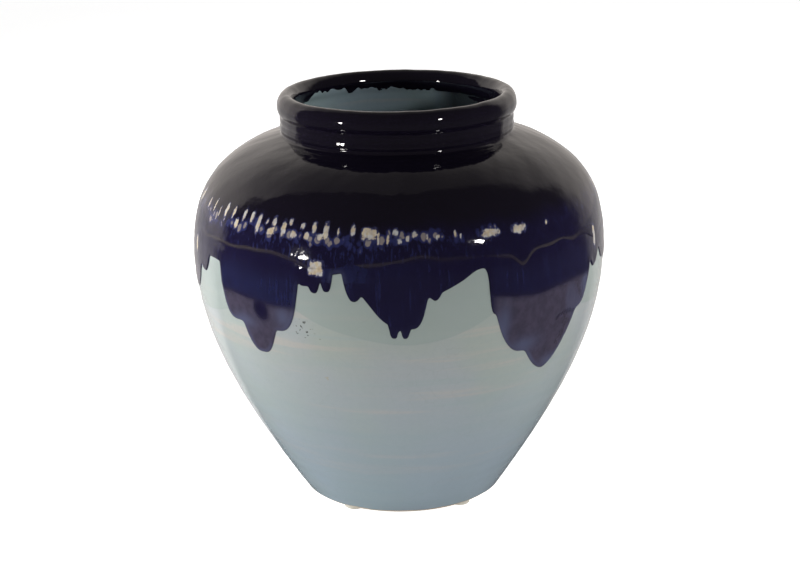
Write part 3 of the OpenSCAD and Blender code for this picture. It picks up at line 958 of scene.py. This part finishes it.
class VASE_OT_dark_coat(VaseStep):
    """Lays the dark top coat over the shoulder, the neck and the lip, down to its ragged edge inside"""
    bl_idname = "vase.dark_coat"
    bl_label = "Dark coat"

    def execute(self, context):
        glaze = context.scene.vase_glaze
        outline = clay_outline(context.scene.vase_shape)
        crest = outline.s[int(np.argmax(outline.z))]
        root = outline.walk_to(ROOT[2])
        fine = around(2880)
        edge = outline.walk_to(dark_edge(fine))
        inner = outline.walk_to(inner_edge(fine), crest)

        def start(az):
            return outline.walk_to(dark_edge(az))

        def end(az):
            return outline.walk_to(inner_edge(az), crest)

        def base(az, s):
            under = glaze.pale_t + glaze.cobalt_t * (1 - smooth(s, root - 28, root - 8))
            inward = smooth(s, crest - 6, crest + 6)
            return under * (1 - inward) + glaze.lining_t * inward

        def thickness(az, s):
            d = edge_distance(outline, az, s, [(fine, edge), (fine, inner)])
            full = glaze.dark_t * (0.08 * smooth(d, 0, 2) + 0.92 * smooth(d, 0, 20))
            sunk = 0.22 * (1 - smooth(edge_distance(outline, az, s, [(fine, edge)]), 0, 7))
            return full * (1 + 0.25 * ripple(az, s, 12, 14, 61) * smooth(d, 2, 8)) - sunk

        def marks(az, s, height):
            front = s < crest
            d = height - dark_edge(az)
            strong = 0.25 + 0 * az
            for centre, half, much in CROWDS:
                off = np.abs(nearest_turn(az, centre))
                strong = np.maximum(strong, much * smooth(-off, -half - 8, -half + 4))
            middle = glaze.fleck_z + 2.2 * ripple(az, 0, 40, 1, 62) + 1.3 * ripple(az, 0, 8, 1, 63)
            band = strong * np.exp(-((height - middle) / 5.2) ** 2) * front
            rain = strong * smooth(-height, -middle - 2, -middle + 6) * smooth(d, 0, 5) * front
            low = smooth(-height, -middle - 14, -middle + 2) * front
            rim = (0.5 + 0.25 * ripple(az, 0, 30, 1, 64)) * smooth(-np.abs(d - 3.4), -1.8, -0.5) * front
            return {"band": np.clip(band, 0, 1), "rain": np.clip(rain, 0, 1), "low": low, "rim": rim,
                    "fleck": fleck_field(az, height) * front}

        piece = coat("dark_coat", outline, 720, 90, 46, start, end, base, thickness, sink=0.35, marks=marks)
        finish_piece(piece, dark_glaze(glaze), "dark_glaze", "dark_glaze")
        return {"FINISHED"}


class VASE_OT_pads(VaseStep):
    """Cuts the four felt pads: round, soft-edged discs, each a little uneven"""
    bl_idname = "vase.pads"
    bl_label = "Pads"

    def execute(self, context):
        material = felt(context.scene.vase_glaze)
        for number, node in enumerate(PAD_NODES):
            low, high = node_size(node)
            centre = (low + high) / 2
            radius = (high[0] - low[0]) / 2
            tall = high[2] - low[2]
            az = around(96)
            profile = np.vstack([[[0, 0]], np.stack([np.linspace(0.15, 0.82, 6), np.zeros(6)], 1),
                                 arc((0.90, 0.22), 0.10, 0.22, 280, 360, 4),
                                 arc((0.90, 0.78), 0.10, 0.22, 0, 80, 4),
                                 np.stack([np.linspace(0.82, 0.15, 6), np.ones(6)], 1), [[0, 1]]])
            uneven = 1 - 0.018 * np.abs(ripple(az, 0, 30, 1, 71 + number))
            r = profile[:, :1] * radius * uneven
            z = profile[:, 1:] * tall * np.ones_like(az)
            grid = np.stack([centre[0] + r * np.sin(az), centre[1] - r * np.cos(az), low[2] + z], -1)
            pad = surface(f"felt_pad_{number + 1}", grid, closed=False, poles=True)
            finish_piece(pad, material, "felt_pad", node)
        return {"FINISHED"}


LAMP_AWAY = 1.4


class VASE_OT_stage(VaseStep):
    """Sets the floor, the surroundings, two small lamps, two wide panels and the camera"""
    bl_idname = "vase.stage"
    bl_label = "Stage"

    def execute(self, context):
        stage = context.scene.vase_stage
        self.floor()
        self.surroundings(stage)
        size = stage.lamp_size
        self.lamp("lamp_left", (-26, 0.242), (-55.4, 7.0), stage.left_power, size, (1.0, 0.97, 0.93))
        self.lamp("lamp_right", (20, 0.254), (43.8, 19.8), stage.right_power, size, (1.0, 0.98, 0.95))
        for name, turn, power in (("panel_left", -106, stage.side), ("panel_right", 104, 0.5 * stage.side)):
            panel = self.lamp(name, (turn, 0.16), (turn, 5.0), power, 1.8, (1.0, 0.99, 0.97))
            panel.visible_glossy = panel.visible_camera = False
        self.camera(stage)
        context.scene.view_settings.view_transform = "Standard"
        return {"FINISHED"}

    @staticmethod
    def floor():
        """A plain pale floor: a round sheet under the vase, 8 m across.

        It has a fixed brightness in reflections, and glows more for the camera than for the vase.
        """
        az = around(96)
        radii = np.array([4000, 1200, 300, 0])[:, None]
        grid = np.stack([radii * np.sin(az), -radii * np.cos(az), 0 * radii * az], -1)
        sheet = surface("floor", grid, closed=False)
        paint = Paint(bpy.data.materials.new("floor_paper"))
        wash = paint.mix(paint.noise(0.6), (0.80, 0.80, 0.80), (0.82, 0.82, 0.82))
        seen = paint.node("ShaderNodeLightPath", out="Is Camera Ray")
        glow = paint.mix(seen, (0.62, 0.62, 0.62), (1, 1, 1))
        paper = paint.node("ShaderNodeBsdfPrincipled", {}, {
            "Base Color": wash, "Roughness": 0.8, "Emission Strength": 0.9, "Emission Color": glow})
        mirrored = paint.mix(white_walls(paint), (0.075, 0.070, 0.070), (0.66, 0.63, 0.61))
        shown = paint.node("ShaderNodeBsdfPrincipled", {}, {
            "Base Color": (0, 0, 0, 1), "Specular IOR Level": 0.0,
            "Emission Color": mirrored, "Emission Strength": 1.0})
        glossy = paint.node("ShaderNodeLightPath", out="Is Glossy Ray")
        both = paint.node("ShaderNodeMixShader", {}, {0: glossy, 1: paper, 2: shown})
        sheet.data.materials.append(paint.close(both))

    @staticmethod
    def surroundings(stage):
        """White walls behind and beside the vase, dark in front and overhead, as its glaze mirrors them.

        Soft light that isn't mirrored comes evenly from all round, and the backdrop itself is white.
        """
        paint = Paint(bpy.data.worlds.new("studio"), "Generated")
        z = paint.node("ShaderNodeSeparateXYZ", {}, {0: paint.place}, out="Z")
        tall = paint.step(z, 0.34, 0.95, 1.0, 0.12)
        walls = white_walls(paint) * tall
        bright = (stage.surround, stage.surround * 0.93, stage.surround * 0.87)
        mirrored = paint.mix(walls, (0.060, 0.054, 0.055), bright)
        level = paint.step(z, 0.1, 0.6, stage.sky, 0.05)
        soft = paint.node("ShaderNodeCombineColor", {}, {0: level, 1: level, 2: level})
        shade = paint.mix(paint.node("ShaderNodeLightPath", out="Is Glossy Ray"), soft, mirrored)
        shade = paint.mix(paint.node("ShaderNodeLightPath", out="Is Camera Ray"), shade, (1, 1, 1))
        back = paint.node("ShaderNodeBackground", {}, {"Color": shade})
        bpy.context.scene.world = paint.close(back, "ShaderNodeOutputWorld")

    @staticmethod
    def lamp(name, spot, towards, power, size, colour):
        """A round lamp that faces a spot near the body: azimuth in degrees and height in metres.

        It stands LAMP_AWAY off, in the direction towards: azimuth and elevation in degrees.
        """
        turn, height = math.radians(spot[0]), spot[1]
        radius = 0.168
        point = Vector((radius * math.sin(turn), -radius * math.cos(turn), height))
        a, e = math.radians(towards[0]), math.radians(towards[1])
        way = Vector((math.sin(a) * math.cos(e), -math.cos(a) * math.cos(e), math.sin(e)))
        data = bpy.data.lights.new(name, "AREA")
        data.shape = "DISK"
        data.size, data.energy, data.color = size, power, colour
        lamp = bpy.data.objects.new(name, data)
        lamp.location = point + LAMP_AWAY * way
        lamp.rotation_mode = "QUATERNION"
        lamp.rotation_quaternion = way.to_track_quat("Z", "Y")
        bpy.context.scene.collection.objects.link(lamp)
        return lamp

    @staticmethod
    def camera(stage):
        """A camera in front of the vase, looking down at its middle, turned slightly about its own view."""
        data = bpy.data.cameras.new("camera")
        data.lens, data.sensor_width = stage.lens, 36.0
        data.clip_start, data.clip_end = 0.05, 20.0
        camera = bpy.data.objects.new("camera", data)
        drop = stage.distance * math.tan(stage.look_down)
        camera.location = (0, -stage.distance, stage.aim_z + drop)
        camera.rotation_mode = "XYZ"
        tilt = math.pi / 2 - stage.look_down
        turn = Matrix.Rotation(tilt, 3, "X") @ Matrix.Rotation(stage.roll, 3, "Z")
        camera.rotation_euler = turn.to_euler("XYZ")
        bpy.context.scene.collection.objects.link(camera)
        bpy.context.scene.camera = camera


class VASE_PT_steps(bpy.types.Panel):
    """Lists the vase's steps in the 3D view's sidebar"""
    bl_label = "Vase"
    bl_space_type = "VIEW_3D"
    bl_region_type = "UI"
    bl_category = "Vase"

    def draw(self, context):
        for step in STEPS:
            self.layout.operator(step.bl_idname)
        for group in (context.scene.vase_shape, context.scene.vase_glaze, context.scene.vase_stage):
            box = self.layout.box()
            for name in group.__annotations__:
                box.prop(group, name)


STEPS = (VASE_OT_stage, VASE_OT_clay, VASE_OT_lining, VASE_OT_pale_coat, VASE_OT_cobalt_coat,
         VASE_OT_dark_coat, VASE_OT_pads)
CLASSES = (VaseShape, VaseGlaze, VaseStage, *STEPS, VASE_PT_steps)


def register():
    """Registers every class and hangs the settings on the scene."""
    for cls in CLASSES:
        bpy.utils.register_class(cls)
    bpy.types.Scene.vase_shape = PointerProperty(type=VaseShape)
    bpy.types.Scene.vase_glaze = PointerProperty(type=VaseGlaze)
    bpy.types.Scene.vase_stage = PointerProperty(type=VaseStage)


def unregister():
    """Takes the settings off the scene and unregisters every class."""
    for name in ("vase_shape", "vase_glaze", "vase_stage"):
        delattr(bpy.types.Scene, name)
    for cls in reversed(CLASSES):
        bpy.utils.unregister_class(cls)


def main():
    """Registers the classes and builds the whole vase, running each step in order."""
    register()
    for step in STEPS:
        group, name = step.bl_idname.split(".")
        getattr(getattr(bpy.ops, group), name)()


if __name__ == "__main__":
    main()
